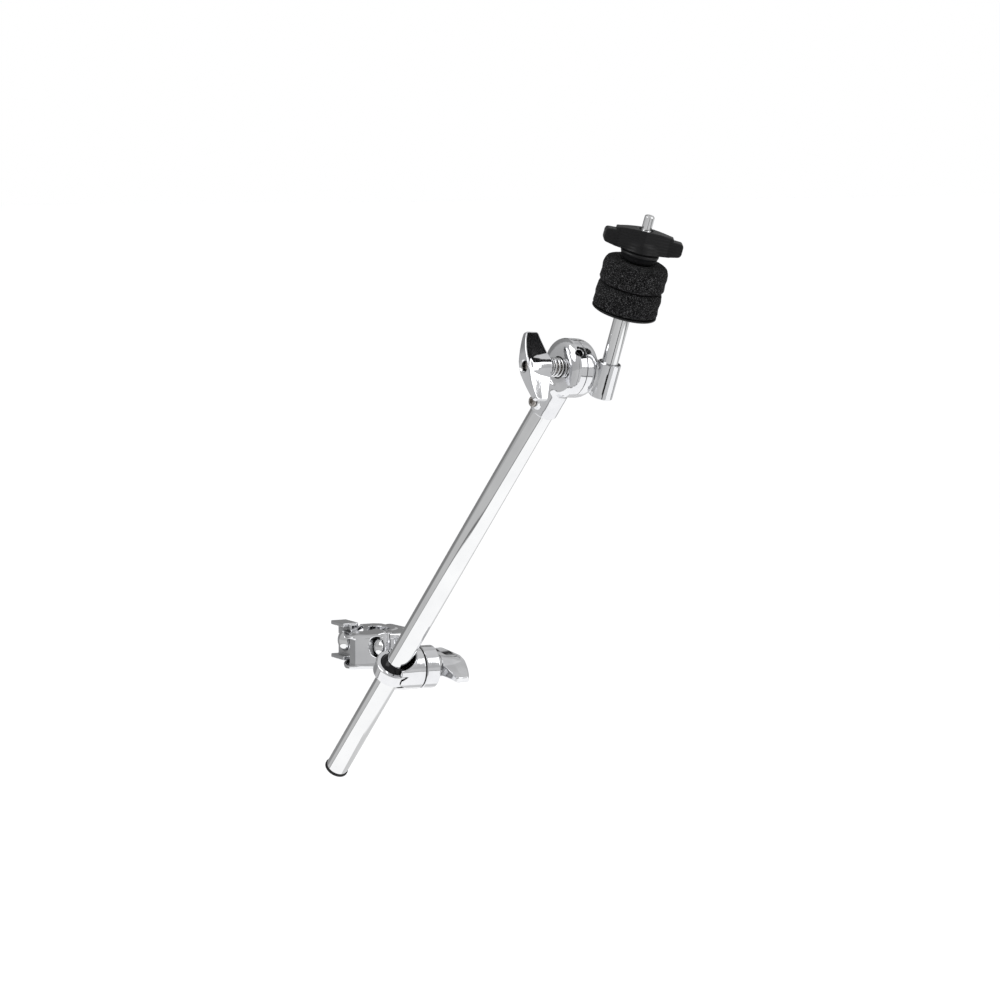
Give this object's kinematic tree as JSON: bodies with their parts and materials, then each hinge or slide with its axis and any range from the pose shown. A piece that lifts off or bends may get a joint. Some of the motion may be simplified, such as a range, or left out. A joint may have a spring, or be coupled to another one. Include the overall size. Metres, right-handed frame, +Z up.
{
  "type": "cymbal boom arm with stand clamp",
  "caption": "Chrome boom arm that clamps to a drum-stand tube, with a ball-type boom holder, a tilter and a felted cymbal seat.",
  "frame": {"origin": "middle of the bore that grips the stand tube, at mid height of the clamp", "axes": "+Z up along the stand tube, +X towards the side that the boom leans out to, +Y along the boom holder's barrel towards its wing nut"},
  "size_m": [0.3951, 0.1486, 0.4855],
  "materials": {
    "chrome_casting": "polished chrome on zinc castings",
    "chrome_steel": "polished chrome on steel",
    "steel_insert": "plain zinc-plated steel",
    "black_plastic": "moulded satin black",
    "ball_resin": "hard black resin",
    "black_fibre": "black friction fibre",
    "felt": "dense black wool felt"
  },
  "bodies": {
    "clamp": {"clamp_body": "chrome_casting", "pivot_bolt": "chrome_steel", "pivot_lock_nut": "chrome_steel", "clamp_washer": "chrome_steel", "holder_washer": "chrome_steel"},
    "jaw": {"moving_jaw": "chrome_casting"},
    "clamp_bolt": {"clamp_bolt": "chrome_steel"},
    "clamp_nut": {"clamp_wing_nut": "chrome_casting"},
    "head": {"boom_saddle": "chrome_casting", "swivel_washer": "black_fibre", "eye_bolt": "chrome_casting"},
    "holder_nut": {"holder_wing_nut": "chrome_casting"},
    "ball": {"split_ball": "ball_resin"},
    "boom": {"boom_tube": "chrome_steel", "end_cap": "black_plastic"},
    "tilter": {"tilter_base": "chrome_casting", "set_screw": "chrome_steel", "friction_disc": "black_fibre", "tilter_spring": "chrome_steel", "tilter_washer": "black_fibre"},
    "arm": {"tilter_arm": "chrome_casting", "tilter_bolt": "chrome_steel", "seat_rod": "chrome_steel", "cup_washer": "black_plastic", "stud_sleeve": "black_plastic", "lower_felt": "felt"},
    "tilter_nut": {"tilter_wing_nut": "chrome_casting"},
    "felt": {"upper_felt": "felt"},
    "collar": {"top_collar": "black_plastic"},
    "wing": {"top_wing_nut": "black_plastic", "wing_nut_insert": "steel_insert"}
  },
  "joints": [
    {"name": "clamp_nut_spin", "type": "hinge", "parent": "clamp", "child": "clamp_nut", "pos_m": [-0.0205, 0.024, 0], "axis": [0, 1, 0], "range_deg": [0, 1800]},
    {"name": "clamp_bolt_slide", "type": "slide", "parent": "clamp", "child": "clamp_bolt", "axis": [0, -1, 0], "range_m": [0, 0.00625]},
    {"name": "jaw_open", "type": "hinge", "parent": "clamp", "child": "jaw", "pos_m": [0.033, -0.004, 0], "axis": [0, 0, 1], "range_deg": [0, 5.8]},
    {"name": "head_turn", "type": "hinge", "parent": "clamp", "child": "head", "pos_m": [0.06, -0.0095, -0.015], "axis": [0, 1, 0], "range_deg": [-45, 15]},
    {"name": "holder_nut_spin", "type": "hinge", "parent": "head", "child": "holder_nut", "pos_m": [0.06, 0.0325, -0.015], "axis": [0, 1, 0], "range_deg": [0, 240]},
    {"name": "ball_tilt", "type": "hinge", "parent": "head", "child": "ball", "pos_m": [0.06, -0.0095, -0.015], "axis": [0.776, 0, -0.6307], "range_deg": [-3, 18]},
    {"name": "boom_slide", "type": "slide", "parent": "ball", "child": "boom", "axis": [0.6236, 0.1495, 0.7673], "range_m": [-0.25, 0.095]},
    {"name": "tilter_turn", "type": "hinge", "parent": "boom", "child": "tilter", "pos_m": [0.27389, 0.04179, 0.24819], "axis": [0.6236, 0.1495, 0.7673], "continuous": true},
    {"name": "tilter_tilt", "type": "hinge", "parent": "tilter", "child": "arm", "pos_m": [0.27389, 0.04179, 0.24819], "axis": [-0.1536, 0.9858, -0.0673], "range_deg": [-90, 130]},
    {"name": "tilter_nut_spin", "type": "hinge", "parent": "arm", "child": "tilter_nut", "pos_m": [0.2785, 0.01222, 0.25021], "axis": [-0.1536, 0.9858, -0.0673], "continuous": true},
    {"name": "top_wing_spin", "type": "hinge", "parent": "collar", "child": "wing", "pos_m": [0.32741, 0.07925, 0.34782], "axis": [0.3157, 0.1135, 0.9421], "range_deg": [0, 2304]},
    {"name": "collar_lift", "type": "slide", "parent": "arm", "child": "collar", "axis": [0.3157, 0.1135, 0.9421], "range_m": [0, 0.008]},
    {"name": "felt_lift", "type": "slide", "parent": "arm", "child": "felt", "axis": [0.3157, 0.1135, 0.9421], "range_m": [0, 0.008]}
  ],
  "couplings": [
    {"joint": "clamp_bolt_slide", "follows": "clamp_nut_spin", "m_per_rad": 0.00019892},
    {"joint": "jaw_open", "follows": "clamp_nut_spin", "ratio": 0.0032219},
    {"joint": "collar_lift", "follows": "top_wing_spin", "m_per_rad": 0.00019892},
    {"joint": "felt_lift", "follows": "top_wing_spin", "m_per_rad": 0.00019892}
  ]
}
